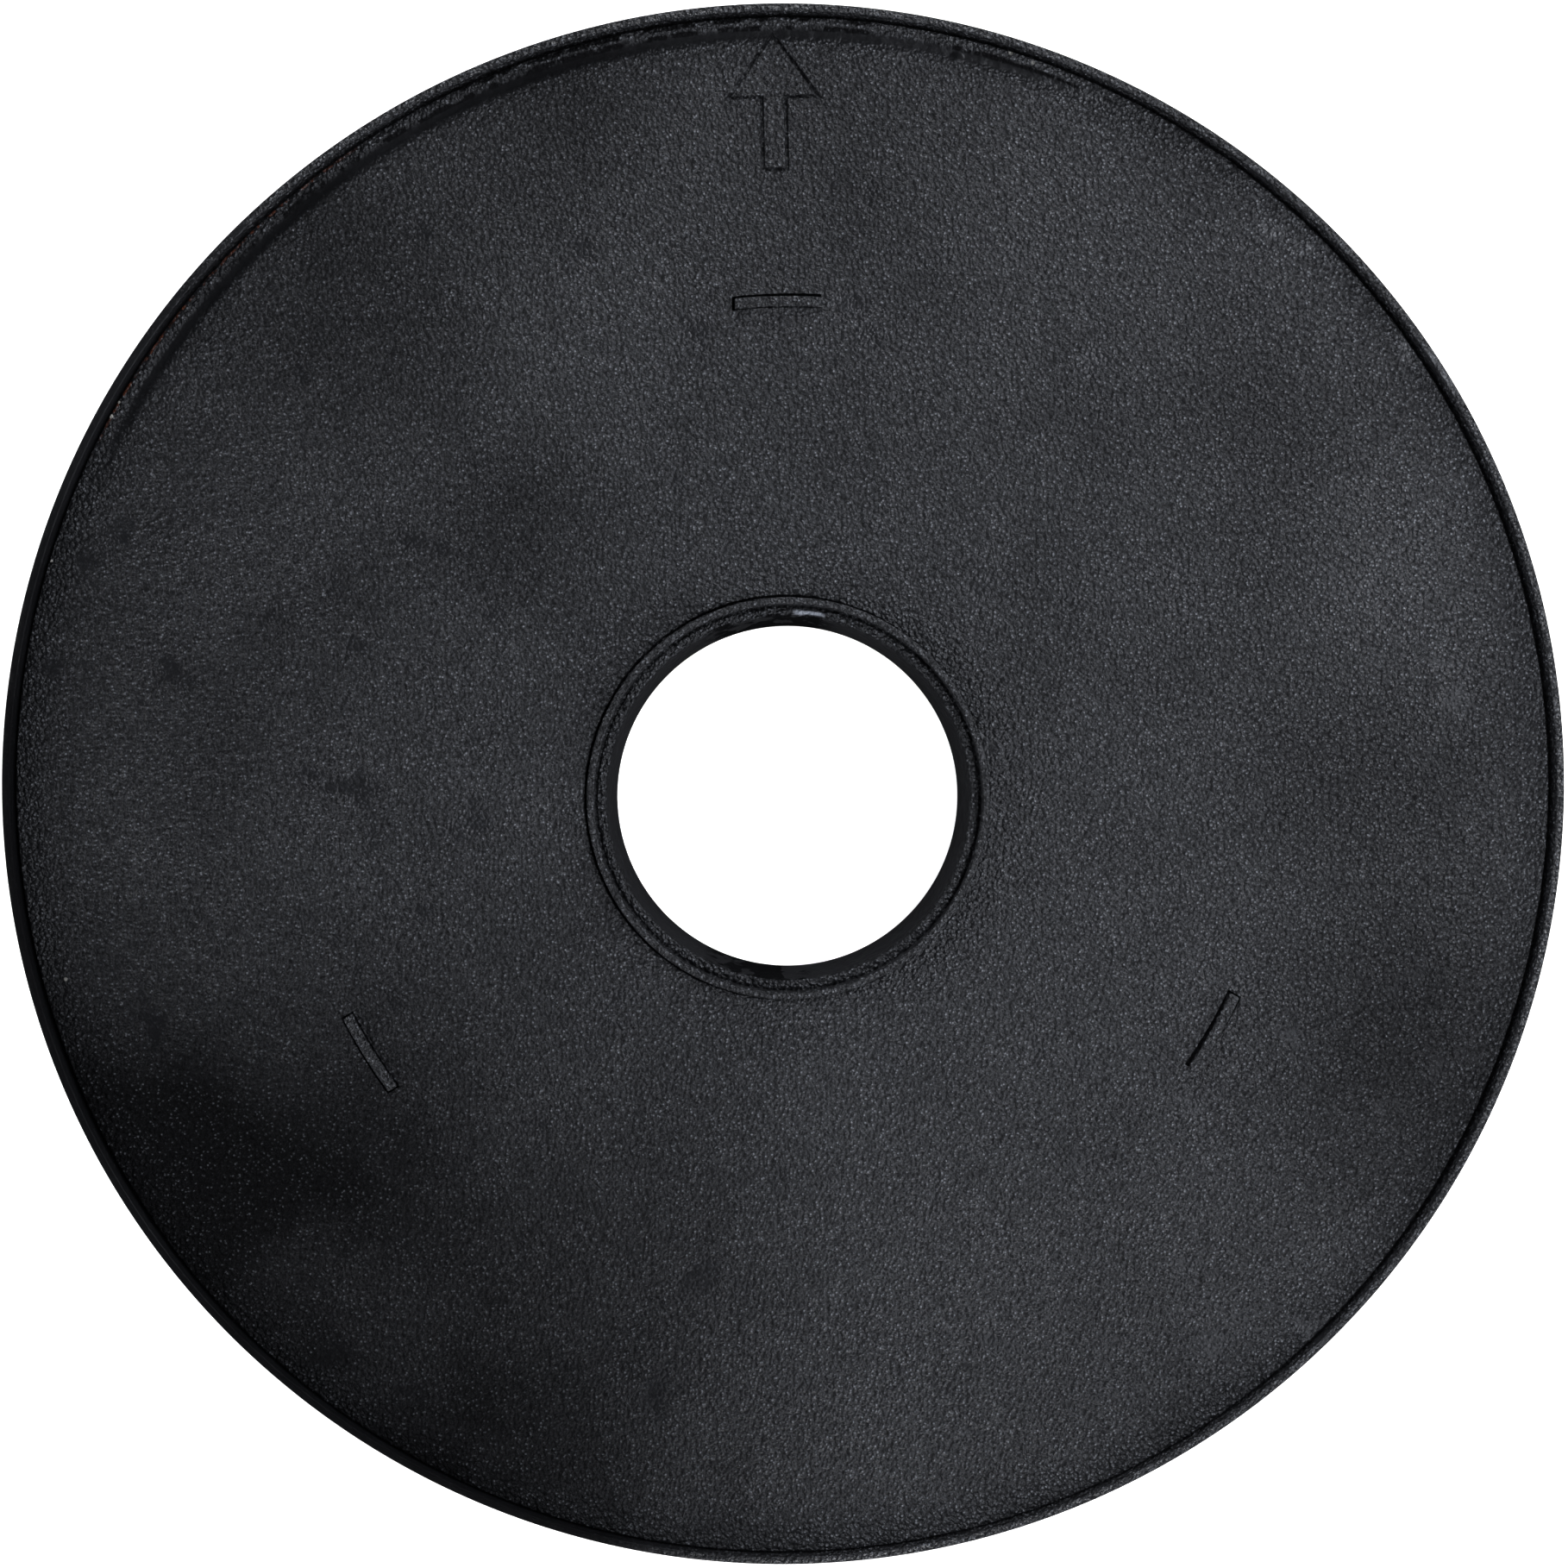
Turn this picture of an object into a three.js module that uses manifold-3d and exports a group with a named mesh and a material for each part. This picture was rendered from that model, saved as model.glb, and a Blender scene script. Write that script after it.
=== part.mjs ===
// Dial plate of a garden sundial: a grained black ring plate that lies in a thin rim hoop,
// round a turned centre bush, on three tenoned lugs with rubber feet.
// Millimetres, +Z up. The origin is on the ground under the middle, and +Y points to noon.

import * as THREE from 'three';
import { mergeVertices } from 'three/addons/utils/BufferGeometryUtils.js';
import Module from 'manifold-3d';

const manifold = await Module();
manifold.setup();

// ---------------------------------------------------------------- driving dimensions

const RIM_RADIUS = 150;
const RIM_TOP = 15;
const RIM_BOTTOM = 3;
const HOOP_THICKNESS = 1.9;
const HOOP_ROUND = 0.7;

const LIP_HEIGHT = 1.2;
const PLATE_THICKNESS = 3;
const PLATE_GAP = 0.6;
const PLATE_EDGE = 0.4;
const JOINT_GAP = 0.3;

const LEDGE_WIDTH = 12;
const LEDGE_THICKNESS = 2;
const WELD_GAP = 0.1;

const BUSH_RADIUS = 38.7;
const BUSH_LIP_WIDTH = 1.4;
const BUSH_LIP_ROUND = 0.35;
const SHELF_DEPTH = 1.9;
const SHELF_WIDTH = 2.1;
const BORE_RADIUS = 33.8;
const FLANGE_RADIUS = 50;

const LUG_COUNT = 3;
const LUG_CIRCLE = 94.4;
const LUG_WIDTH = 26;
const LUG_THICKNESS = 2;
const LUG_REACH = 26;
const LUG_BEND = 0.6;
const TENON_LENGTH = 16.5;
const TENON_PROUD = 0.3;

const FOOT_HEIGHT = 5;
const FOOT_RADIUS = 10;
const FOOT_EDGE = 0.8;
const FOOT_RECESS_RADIUS = 4.6;
const FOOT_RECESS_DEPTH = 3.6;
const FOOT_OFFSET = 13.8;

const RIM_STUD_COUNT = 6;
const RIM_STUD_CIRCLE = 142;
const BUSH_STUD_COUNT = 3;
const BUSH_STUD_CIRCLE = 44.5;

const M4_RADIUS = 2;
const M4_HOLE_RADIUS = 2.3;
const M4_THREAD_GAP = 0.1;
const M4_ACROSS_FLATS = 7;
const M4_NUT_HEIGHT = 3.2;
const FLANGE_NUT_HEIGHT = 4.6;
const FLANGE_NUT_RADIUS = 4.8;
const FLANGE_NUT_RIM = 1;
const STUD_END = 3.6;
const SCREW_HEAD_RADIUS = 4;
const SCREW_HEAD_HEIGHT = 2.2;
const SCREW_HEAD_ROUND = 0.7;
const SCREW_SOCKET_FLATS = 2.5;
const SCREW_SOCKET_DEPTH = 1.3;

const ARROW_TIP = 145.5;
const ARROW_TAIL = 119;
const ARROW_HEAD_LENGTH = 13;
const ARROW_HEAD_WIDTH = 19;
const ARROW_SHAFT_WIDTH = 5.5;
const ARROW_LINE = 0.6;
const ARROW_DEPTH = 0.4;

const RIM_FACETS = 96;
const BUSH_FACETS = 60;
const FOOT_FACETS = 24;
const HOLE_FACETS = 16;
const STUD_FACETS = 12;
const BEND_FACETS = 4;

// ---------------------------------------------------------------- levels and radii that follow

const FACE = RIM_TOP - LIP_HEIGHT;
const UNDERSIDE = FACE - PLATE_THICKNESS;
const LEDGE_BOTTOM = UNDERSIDE - LEDGE_THICKNESS;
const HOOP_INNER = RIM_RADIUS - HOOP_THICKNESS;
const PLATE_RADIUS = HOOP_INNER - PLATE_GAP;
const FOOT_CIRCLE = LUG_CIRCLE + FOOT_OFFSET;
const LUG_FOOT_TOP = FOOT_HEIGHT + LUG_THICKNESS;
const CUT_MARGIN = 1;
const WELD_TOLERANCE = 1e-4;
const QUARTER_TURN = Math.PI / 2;
const THIRD_TURN = (2 * Math.PI) / 3;

// ---------------------------------------------------------------- finishes

const blackCoat = { color: 0x16171a, roughness: 0.58, metalness: 0.25 };
const zinc = { color: 0xaeb2b5, roughness: 0.38, metalness: 1 };
const rubber = { color: 0x121212, roughness: 0.85, metalness: 0 };

// ---------------------------------------------------------------- shared shapes

/** A body turned about the Z axis from [radius, height] points, listed anticlockwise. */
function turned(profile, facets) {
  const points = profile.map(([radius, height]) => new THREE.Vector2(radius, height));
  return new THREE.LatheGeometry(points, facets).rotateX(QUARTER_TURN);
}

/** A turned ring, whose profile closes on its first point. */
function turnedRing(profile, facets) {
  return turned([...profile, profile[0]], facets);
}

/** An upright cylinder between two levels. */
function upright(radius, bottom, top, facets) {
  const cylinder = new THREE.CylinderGeometry(radius, radius, top - bottom, facets);
  return cylinder.rotateX(QUARTER_TURN).translate(0, 0, (bottom + top) / 2);
}

/** A hexagonal prism between two levels. */
function hexagonal(acrossFlats, bottom, top) {
  return upright(acrossFlats / Math.sqrt(3), bottom, top, 6);
}

/** A box given by its size, standing on a level and centred on a point of the Y axis. */
function block(width, depth, bottom, top, y) {
  return new THREE.BoxGeometry(width, depth, top - bottom).translate(0, y, (bottom + top) / 2);
}

/** The solid of a closed geometry, for cutting and joining. */
function solidOf(geometry) {
  const bare = geometry.clone();
  bare.deleteAttribute('normal');
  bare.deleteAttribute('uv');
  const welded = mergeVertices(bare, WELD_TOLERANCE);
  return new manifold.Manifold(new manifold.Mesh({
    numProp: 3,
    vertProperties: new Float32Array(welded.attributes.position.array),
    triVerts: new Uint32Array(welded.index.array),
  }));
}

/** The geometry of a solid. */
function geometryOf(solid) {
  const { numProp, vertProperties, triVerts } = solid.getMesh();
  const geometry = new THREE.BufferGeometry();
  geometry.setAttribute('position', new THREE.BufferAttribute(vertProperties, numProp));
  geometry.setIndex(new THREE.BufferAttribute(triVerts, 1));
  geometry.computeVertexNormals();
  return geometry;
}

/** A geometry with others cut out of it. */
function cut(geometry, ...cutters) {
  return geometryOf(cutters.reduce((solid, cutter) => solid.subtract(solidOf(cutter)), solidOf(geometry)));
}

/** Several geometries joined into one. */
function joined(first, ...others) {
  return geometryOf(others.reduce((solid, other) => solid.add(solidOf(other)), solidOf(first)));
}

/** The angles of evenly spaced pieces, the first at noon plus an offset. */
function around(count, offset = 0) {
  return Array.from({ length: count }, (_, index) => offset + (index * 2 * Math.PI) / count);
}

/** A named mesh in one finish. */
function piece(name, geometry, finish) {
  const mesh = new THREE.Mesh(geometry, new THREE.MeshStandardMaterial(finish));
  mesh.name = name;
  return mesh;
}

/** Copies of one piece round the dial, numbered from 1. */
function piecesAround(name, makeGeometry, angles, finish) {
  return angles.map((angle, index) => {
    const mesh = piece(`${name}_${index + 1}`, makeGeometry(), finish);
    mesh.rotation.z = angle;
    return mesh;
  });
}

// ---------------------------------------------------------------- plate

/** The arrow's outline, drawn inside its true edge by an inset. */
function arrowOutline(inset) {
  const halfAngle = Math.atan2(ARROW_HEAD_WIDTH / 2, ARROW_HEAD_LENGTH);
  const tip = ARROW_TIP - inset / Math.sin(halfAngle);
  const base = ARROW_TIP - ARROW_HEAD_LENGTH + inset;
  const barb = (tip - base) * Math.tan(halfAngle);
  const shaft = ARROW_SHAFT_WIDTH / 2 - inset;
  const tail = ARROW_TAIL + inset;
  return new THREE.Shape([
    new THREE.Vector2(0, tip),
    new THREE.Vector2(-barb, base),
    new THREE.Vector2(-shaft, base),
    new THREE.Vector2(-shaft, tail),
    new THREE.Vector2(shaft, tail),
    new THREE.Vector2(shaft, base),
    new THREE.Vector2(barb, base),
  ]);
}

/** The engraved line of the noon arrow. */
function arrowGroove() {
  const line = arrowOutline(0);
  line.holes.push(arrowOutline(ARROW_LINE));
  const groove = new THREE.ExtrudeGeometry(line, { depth: ARROW_DEPTH + CUT_MARGIN, bevelEnabled: false });
  return groove.translate(0, 0, FACE - ARROW_DEPTH);
}

/** A slot that a lug's tenon stands in. */
function tenonSlot(angle) {
  const length = TENON_LENGTH + 2 * JOINT_GAP;
  const width = LUG_THICKNESS + 2 * JOINT_GAP;
  const slot = block(length, width, UNDERSIDE - CUT_MARGIN, FACE + CUT_MARGIN, LUG_CIRCLE);
  return slot.rotateZ(angle);
}

/** The ring plate, with its slots and the noon arrow. */
function dialPlate() {
  const inner = BUSH_RADIUS + JOINT_GAP;
  const ring = turnedRing([
    [inner, UNDERSIDE],
    [PLATE_RADIUS, UNDERSIDE],
    [PLATE_RADIUS, FACE - PLATE_EDGE],
    [PLATE_RADIUS - PLATE_EDGE, FACE],
    [inner, FACE],
  ], RIM_FACETS);
  return cut(ring, arrowGroove(), ...around(LUG_COUNT).map(tenonSlot));
}

// ---------------------------------------------------------------- rim

/** The rolled hoop, whose top edge stands proud of the face. */
function rimHoop() {
  return turnedRing([
    [HOOP_INNER, RIM_BOTTOM],
    [RIM_RADIUS, RIM_BOTTOM],
    [RIM_RADIUS, RIM_TOP - HOOP_ROUND],
    [RIM_RADIUS - HOOP_ROUND / 3, RIM_TOP - HOOP_ROUND / 3],
    [RIM_RADIUS - HOOP_ROUND, RIM_TOP],
    [HOOP_INNER + HOOP_ROUND / 3, RIM_TOP],
    [HOOP_INNER, RIM_TOP - HOOP_ROUND / 3],
  ], RIM_FACETS);
}

/** A clearance hole for a stud on a circle about the middle. */
function studHole(circle) {
  const bottom = LEDGE_BOTTOM - CUT_MARGIN;
  return (angle) => upright(M4_HOLE_RADIUS, bottom, UNDERSIDE + CUT_MARGIN, HOLE_FACETS)
    .translate(0, circle, 0)
    .rotateZ(angle);
}

/** The flat ring inside the hoop that carries the plate's edge. */
function rimLedge(studAngles) {
  const outer = HOOP_INNER - WELD_GAP;
  const ring = turnedRing([
    [HOOP_INNER - LEDGE_WIDTH, LEDGE_BOTTOM],
    [outer, LEDGE_BOTTOM],
    [outer, UNDERSIDE],
    [HOOP_INNER - LEDGE_WIDTH, UNDERSIDE],
  ], RIM_FACETS);
  return cut(ring, ...studAngles.map(studHole(RIM_STUD_CIRCLE)));
}

// ---------------------------------------------------------------- centre

/** The turned bush: lip, shelf, tapered bore and the flange under the plate. */
function centreBush(studAngles) {
  const lipInner = BUSH_RADIUS - BUSH_LIP_WIDTH;
  const shelf = RIM_TOP - SHELF_DEPTH;
  const ring = turnedRing([
    [BORE_RADIUS, RIM_BOTTOM],
    [BUSH_RADIUS, RIM_BOTTOM],
    [BUSH_RADIUS, LEDGE_BOTTOM],
    [FLANGE_RADIUS, LEDGE_BOTTOM],
    [FLANGE_RADIUS, UNDERSIDE],
    [BUSH_RADIUS, UNDERSIDE],
    [BUSH_RADIUS, RIM_TOP - BUSH_LIP_ROUND],
    [BUSH_RADIUS - BUSH_LIP_ROUND, RIM_TOP],
    [lipInner + BUSH_LIP_ROUND, RIM_TOP],
    [lipInner, RIM_TOP - BUSH_LIP_ROUND],
    [lipInner, shelf],
    [lipInner - SHELF_WIDTH, shelf],
  ], BUSH_FACETS);
  return cut(ring, ...studAngles.map(studHole(BUSH_STUD_CIRCLE)));
}

// ---------------------------------------------------------------- lugs and feet

/** A lug at noon: upright strip with a tenon, bent outwards into a foot. */
function tenonLug() {
  const inner = LUG_CIRCLE - LUG_THICKNESS / 2;
  const outer = inner + LUG_THICKNESS;
  const bendRadius = LUG_BEND + LUG_THICKNESS;
  const centreY = outer + LUG_BEND;
  const centreZ = LUG_FOOT_TOP + LUG_BEND;
  const side = new THREE.Shape();
  side.moveTo(inner, UNDERSIDE);
  side.absarc(centreY, centreZ, bendRadius, Math.PI, 3 * QUARTER_TURN, false);
  side.lineTo(inner + LUG_REACH, FOOT_HEIGHT);
  side.lineTo(inner + LUG_REACH, LUG_FOOT_TOP);
  side.absarc(centreY, centreZ, LUG_BEND, 3 * QUARTER_TURN, Math.PI, true);
  side.lineTo(outer, UNDERSIDE);
  const strip = new THREE.ExtrudeGeometry(side, {
    depth: LUG_WIDTH,
    bevelEnabled: false,
    curveSegments: BEND_FACETS,
  });
  const outwards = new THREE.Vector3(0, 1, 0);
  const up = new THREE.Vector3(0, 0, 1);
  const along = new THREE.Vector3(1, 0, 0);
  strip.applyMatrix4(new THREE.Matrix4().makeBasis(outwards, up, along)).translate(-LUG_WIDTH / 2, 0, 0);
  const tenon = block(TENON_LENGTH, LUG_THICKNESS, UNDERSIDE - CUT_MARGIN, FACE + TENON_PROUD, LUG_CIRCLE);
  const hole = upright(M4_HOLE_RADIUS, FOOT_HEIGHT - CUT_MARGIN, LUG_FOOT_TOP + CUT_MARGIN, HOLE_FACETS);
  return cut(joined(strip, tenon), hole.translate(0, FOOT_CIRCLE, 0));
}

/** A rubber foot at noon, recessed below for its screw's head. */
function footPad() {
  const ring = turnedRing([
    [FOOT_RECESS_RADIUS, 0],
    [FOOT_RADIUS - FOOT_EDGE, 0],
    [FOOT_RADIUS, FOOT_EDGE],
    [FOOT_RADIUS, FOOT_HEIGHT - FOOT_EDGE],
    [FOOT_RADIUS - FOOT_EDGE, FOOT_HEIGHT],
    [M4_HOLE_RADIUS, FOOT_HEIGHT],
    [M4_HOLE_RADIUS, FOOT_RECESS_DEPTH],
    [FOOT_RECESS_RADIUS, FOOT_RECESS_DEPTH],
  ], FOOT_FACETS);
  return ring.translate(0, FOOT_CIRCLE, 0);
}

/** The button-head screw that holds a foot. */
function footScrew() {
  const headBottom = FOOT_RECESS_DEPTH - SCREW_HEAD_HEIGHT;
  const screw = turned([
    [0, headBottom],
    [SCREW_HEAD_RADIUS - SCREW_HEAD_ROUND, headBottom],
    [SCREW_HEAD_RADIUS, headBottom + SCREW_HEAD_ROUND],
    [SCREW_HEAD_RADIUS, FOOT_RECESS_DEPTH],
    [M4_RADIUS, FOOT_RECESS_DEPTH],
    [M4_RADIUS, LUG_FOOT_TOP + M4_NUT_HEIGHT],
    [0, LUG_FOOT_TOP + M4_NUT_HEIGHT],
  ], STUD_FACETS);
  const socket = hexagonal(SCREW_SOCKET_FLATS, headBottom - CUT_MARGIN, headBottom + SCREW_SOCKET_DEPTH);
  return cut(screw, socket).translate(0, FOOT_CIRCLE, 0);
}

/** The weld nut on top of a lug's foot. */
function footNut() {
  const top = LUG_FOOT_TOP + M4_NUT_HEIGHT;
  const radius = M4_RADIUS + M4_THREAD_GAP;
  const thread = upright(radius, LUG_FOOT_TOP - CUT_MARGIN, top + CUT_MARGIN, HOLE_FACETS);
  return cut(hexagonal(M4_ACROSS_FLATS, LUG_FOOT_TOP, top), thread).translate(0, FOOT_CIRCLE, 0);
}

// ---------------------------------------------------------------- studs and nuts

/** A weld stud under the plate, on a circle about the middle. */
function weldStud(circle) {
  return () => upright(M4_RADIUS, STUD_END, UNDERSIDE, STUD_FACETS).translate(0, circle, 0);
}

/** A flange nut drawn up against the underside of the ledge or the bush's flange. */
function flangeNut(circle) {
  const bottom = LEDGE_BOTTOM - FLANGE_NUT_HEIGHT;
  return () => {
    const rim = upright(FLANGE_NUT_RADIUS, LEDGE_BOTTOM - FLANGE_NUT_RIM, LEDGE_BOTTOM, HOLE_FACETS);
    const body = joined(rim, hexagonal(M4_ACROSS_FLATS, bottom, LEDGE_BOTTOM));
    const threadTop = LEDGE_BOTTOM + CUT_MARGIN;
    const thread = upright(M4_RADIUS + M4_THREAD_GAP, bottom - CUT_MARGIN, threadTop, HOLE_FACETS);
    return cut(body, thread).translate(0, circle, 0);
  };
}

// ---------------------------------------------------------------- assembly

const lugAngles = around(LUG_COUNT);
const rimStudAngles = around(RIM_STUD_COUNT, Math.PI / RIM_STUD_COUNT);
const bushStudAngles = around(BUSH_STUD_COUNT, THIRD_TURN / 2);

const group = new THREE.Group();
group.add(piece('dial_plate', dialPlate(), blackCoat));
group.add(piece('rim_hoop', rimHoop(), blackCoat));
group.add(piece('rim_ledge', rimLedge(rimStudAngles), blackCoat));
group.add(piece('centre_bush', centreBush(bushStudAngles), blackCoat));
group.add(...piecesAround('tenon_lug', tenonLug, lugAngles, blackCoat));
group.add(...piecesAround('foot_pad', footPad, lugAngles, rubber));
group.add(...piecesAround('foot_screw', footScrew, lugAngles, zinc));
group.add(...piecesAround('foot_nut', footNut, lugAngles, zinc));
group.add(...piecesAround('rim_stud', weldStud(RIM_STUD_CIRCLE), rimStudAngles, zinc));
group.add(...piecesAround('rim_nut', flangeNut(RIM_STUD_CIRCLE), rimStudAngles, zinc));
group.add(...piecesAround('bush_stud', weldStud(BUSH_STUD_CIRCLE), bushStudAngles, zinc));
group.add(...piecesAround('bush_nut', flangeNut(BUSH_STUD_CIRCLE), bushStudAngles, zinc));

export default group;
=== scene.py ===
"""Looks of a garden sundial's dial plate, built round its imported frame.

The dial is a black ring plate with a coarse powder coat. It lies in a rolled hoop, round a turned
bush, on three tenoned lugs with rubber feet. Everything is in metres in the frame's own axes:
+Z is up, +Y is noon.
"""

import logging
import math
from collections.abc import Sequence
from dataclasses import dataclass, field, replace
from enum import Enum
from typing import Any, Optional, Union

import bmesh
import bpy
from mathutils import Matrix, Vector


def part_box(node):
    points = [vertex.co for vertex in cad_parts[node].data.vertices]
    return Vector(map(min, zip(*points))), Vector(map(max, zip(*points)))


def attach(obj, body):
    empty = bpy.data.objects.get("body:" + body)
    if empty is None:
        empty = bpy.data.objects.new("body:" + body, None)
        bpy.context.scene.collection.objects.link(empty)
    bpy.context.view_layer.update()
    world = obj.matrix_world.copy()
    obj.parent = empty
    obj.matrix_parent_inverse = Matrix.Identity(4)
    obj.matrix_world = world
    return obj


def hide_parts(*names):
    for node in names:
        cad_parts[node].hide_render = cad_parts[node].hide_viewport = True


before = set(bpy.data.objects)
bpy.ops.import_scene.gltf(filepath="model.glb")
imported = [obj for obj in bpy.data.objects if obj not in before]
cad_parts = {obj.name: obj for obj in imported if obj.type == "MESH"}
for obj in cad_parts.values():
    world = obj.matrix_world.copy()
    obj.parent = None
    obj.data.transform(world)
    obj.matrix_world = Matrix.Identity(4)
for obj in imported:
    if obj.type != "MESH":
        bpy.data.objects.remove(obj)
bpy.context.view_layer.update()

LOG = logging.getLogger("sundial")
MM = 0.001
FULL_TURN = 2 * math.pi
ROOT = "root"
WELD_DISTANCE = 1e-7

LEDGE_WIDTH = 11.9 * MM
STUD_CIRCLE_RIM = 142 * MM
STUD_CIRCLE_BUSH = 44.5 * MM
STUD_HOLE_RADIUS = 2.3 * MM
LUG_THICKNESS = 2 * MM
TENON_LENGTH = 16.5 * MM
TENON_BOW = 0.35 * MM

Colour = tuple[float, float, float]
Number = Union["Signal", float]

RUST: Colour = (0.075, 0.022, 0.010)
# Pale bluish paint for a painted highlight on the bush's shelf.
PAINTED_HIGHLIGHT: Colour = (0.30, 0.33, 0.40)


class Slot(Enum):
    """Names for material slots."""

    COAT = "black_coat"
    RUBBER = "foot_rubber"
    ZINC = "zinc_plate"


# ------------------------------------------------------------------------------ shader maths


class Signal:
    """A number socket that takes part in Python sums."""

    def __init__(self, graph: "Graph", socket: bpy.types.NodeSocket) -> None:
        """Wraps a socket of a graph."""
        self.graph = graph
        self.socket = socket

    def __add__(self, other: Number) -> "Signal":
        """The sum."""
        return self.graph.math("ADD", self, other)

    __radd__ = __add__

    def __sub__(self, other: Number) -> "Signal":
        """The difference."""
        return self.graph.math("SUBTRACT", self, other)

    def __rsub__(self, other: Number) -> "Signal":
        """The difference, taken from a number."""
        return self.graph.math("SUBTRACT", other, self)

    def __mul__(self, other: Number) -> "Signal":
        """The product."""
        return self.graph.math("MULTIPLY", self, other)

    __rmul__ = __mul__

    def __truediv__(self, other: Number) -> "Signal":
        """The quotient."""
        return self.graph.math("DIVIDE", self, other)

    def between(self, low: float, high: float) -> "Signal":
        """A smooth step from 0 at low to 1 at high; low may be the larger."""
        settings = {"interpolation_type": "SMOOTHSTEP"}
        reach = {"Value": self, "From Min": low, "From Max": high}
        return self.graph.signal("ShaderNodeMapRange", settings, reach, "Result")


class Graph:
    """The nodes of one material, written as Python expressions."""

    def __init__(self, name: str) -> None:
        """Starts an empty node tree that reads Object coordinates.

        Args:
            name: the material's name.
        """
        self.material = bpy.data.materials.new(name)
        self.material.use_nodes = True
        self.tree = self.material.node_tree
        self.tree.nodes.clear()
        self.place = self.node("ShaderNodeTexCoord").outputs["Object"]
        axes = self.node("ShaderNodeSeparateXYZ", sockets={"Vector": self.place})
        self.x = Signal(self, axes.outputs["X"])
        self.y = Signal(self, axes.outputs["Y"])
        self.z = Signal(self, axes.outputs["Z"])

    def node(
        self,
        kind: str,
        settings: Optional[dict[str, Any]] = None,
        sockets: Optional[dict[Union[str, int], Any]] = None,
    ) -> bpy.types.Node:
        """Adds one node.

        Args:
            kind: the node's type.
            settings: properties to set first, with a ramp's stops under "stops".
            sockets: values or links, by input name or number.

        Returns:
            The new node.
        """
        made = self.tree.nodes.new(kind)
        for key, value in (settings or {}).items():
            if key == "stops":
                self._set_stops(made.color_ramp, value)
            else:
                setattr(made, key, value)
        for key, value in (sockets or {}).items():
            target = made.inputs[key]
            source = value.socket if isinstance(value, Signal) else value
            if isinstance(source, bpy.types.NodeSocket):
                self.tree.links.new(source, target)
            else:
                target.default_value = source
        return made

    @staticmethod
    def _set_stops(ramp: bpy.types.ColorRamp, stops: Sequence[tuple[float, float]]) -> None:
        """Puts grey stops on a ramp that starts with two."""
        for _ in range(len(stops) - 2):
            ramp.elements.new(0.5)
        for element, (position, level) in zip(ramp.elements, stops):
            element.position = position
            element.color = (level, level, level, 1)

    def signal(self, kind: str, settings: dict[str, Any], sockets: dict, output: str) -> Signal:
        """Adds a node and wraps one of its outputs."""
        return Signal(self, self.node(kind, settings, sockets).outputs[output])

    def math(self, operation: str, *operands: Number) -> Signal:
        """Adds a Math node on one or two operands."""
        return self.signal("ShaderNodeMath", {"operation": operation}, dict(enumerate(operands)), "Value")

    def noise(self, size: float, detail: float = 2.0, roughness: float = 0.5) -> Signal:
        """Cloudy noise from 0 to 1.

        Args:
            size: the distance between cells of the noise, in metres.
            detail: how many finer layers lie on it.
            roughness: how strong the finer layers are.

        Returns:
            The noise's factor.
        """
        sockets = {"Vector": self.place, "Scale": 1 / size, "Detail": detail, "Roughness": roughness}
        return self.signal("ShaderNodeTexNoise", {}, sockets, "Fac")

    def cells(self, size: float) -> Signal:
        """Distance to the nearest of scattered points, 0 at each point."""
        sockets = {"Vector": self.place, "Scale": 1 / size}
        return self.signal("ShaderNodeTexVoronoi", {"feature": "F1"}, sockets, "Distance")

    def mixed(self, factor: Number, first: Any, second: Any) -> bpy.types.NodeSocket:
        """A colour between two others."""
        sockets = {0: factor, 6: _rgba(first), 7: _rgba(second)}
        return self.node("ShaderNodeMix", {"data_type": "RGBA"}, sockets).outputs[2]

    def bump(self, height: Signal, depth: float, below: Any = None) -> bpy.types.NodeSocket:
        """The normal over a relief of a depth in metres, laid on another normal if one is given."""
        sockets = {"Height": height, "Distance": depth, "Strength": 1.0}
        if below is not None:
            sockets["Normal"] = below
        return self.node("ShaderNodeBump", sockets=sockets).outputs["Normal"]

    def radius(self) -> Signal:
        """Distance from the dial's axis."""
        return self.math("SQRT", self.x * self.x + self.y * self.y)

    def spot(self, x: float, y: float, radius: float) -> Signal:
        """A soft round spot, 1 in its middle."""
        away = self.math("SQRT", (self.x - x) * (self.x - x) + (self.y - y) * (self.y - y))
        return away.between(radius, 0.0)

    def surface(
        self,
        sockets: dict[str, Any],
        dull: Optional[Signal] = None,
        dull_sockets: Optional[dict[str, Any]] = None,
    ) -> bpy.types.Material:
        """Ends the graph in a Principled surface, or in a blend of a bright and a dull one.

        Args:
            sockets: values or links of the bright surface's sockets.
            dull: how much of the surface is the dull one.
            dull_sockets: values or links of the dull surface's sockets.

        Returns:
            The finished material.
        """
        shader = self.node("ShaderNodeBsdfPrincipled", sockets=sockets).outputs["BSDF"]
        if dull is not None:
            matt = self.node("ShaderNodeBsdfPrincipled", sockets=dull_sockets).outputs["BSDF"]
            shader = self.node("ShaderNodeMixShader", sockets={0: dull, 1: shader, 2: matt}).outputs[0]
        self.node("ShaderNodeOutputMaterial", sockets={"Surface": shader})
        return self.material


def _rgba(colour: Any) -> Any:
    """A colour with its alpha, or a link as it is."""
    return (*colour, 1.0) if isinstance(colour, tuple) else colour


# ------------------------------------------------------------------------------ finishes


@dataclass(frozen=True)
class StainAndShadePatch:
    """A soft patch on the face where the coat is duller and darker, or brighter if its strength is negative:
    painted shade where the light falls off, painted light where it pools, and the coat's own stains.
    """

    x: float
    y: float
    radius: float
    strength: float


@dataclass(frozen=True)
class Mark:
    """A small nib or pit in the coat: how far it lifts, and how pale its painted glint is."""

    x: float
    y: float
    radius: float
    lift: float
    glint_paleness: float = 0.0


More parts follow.
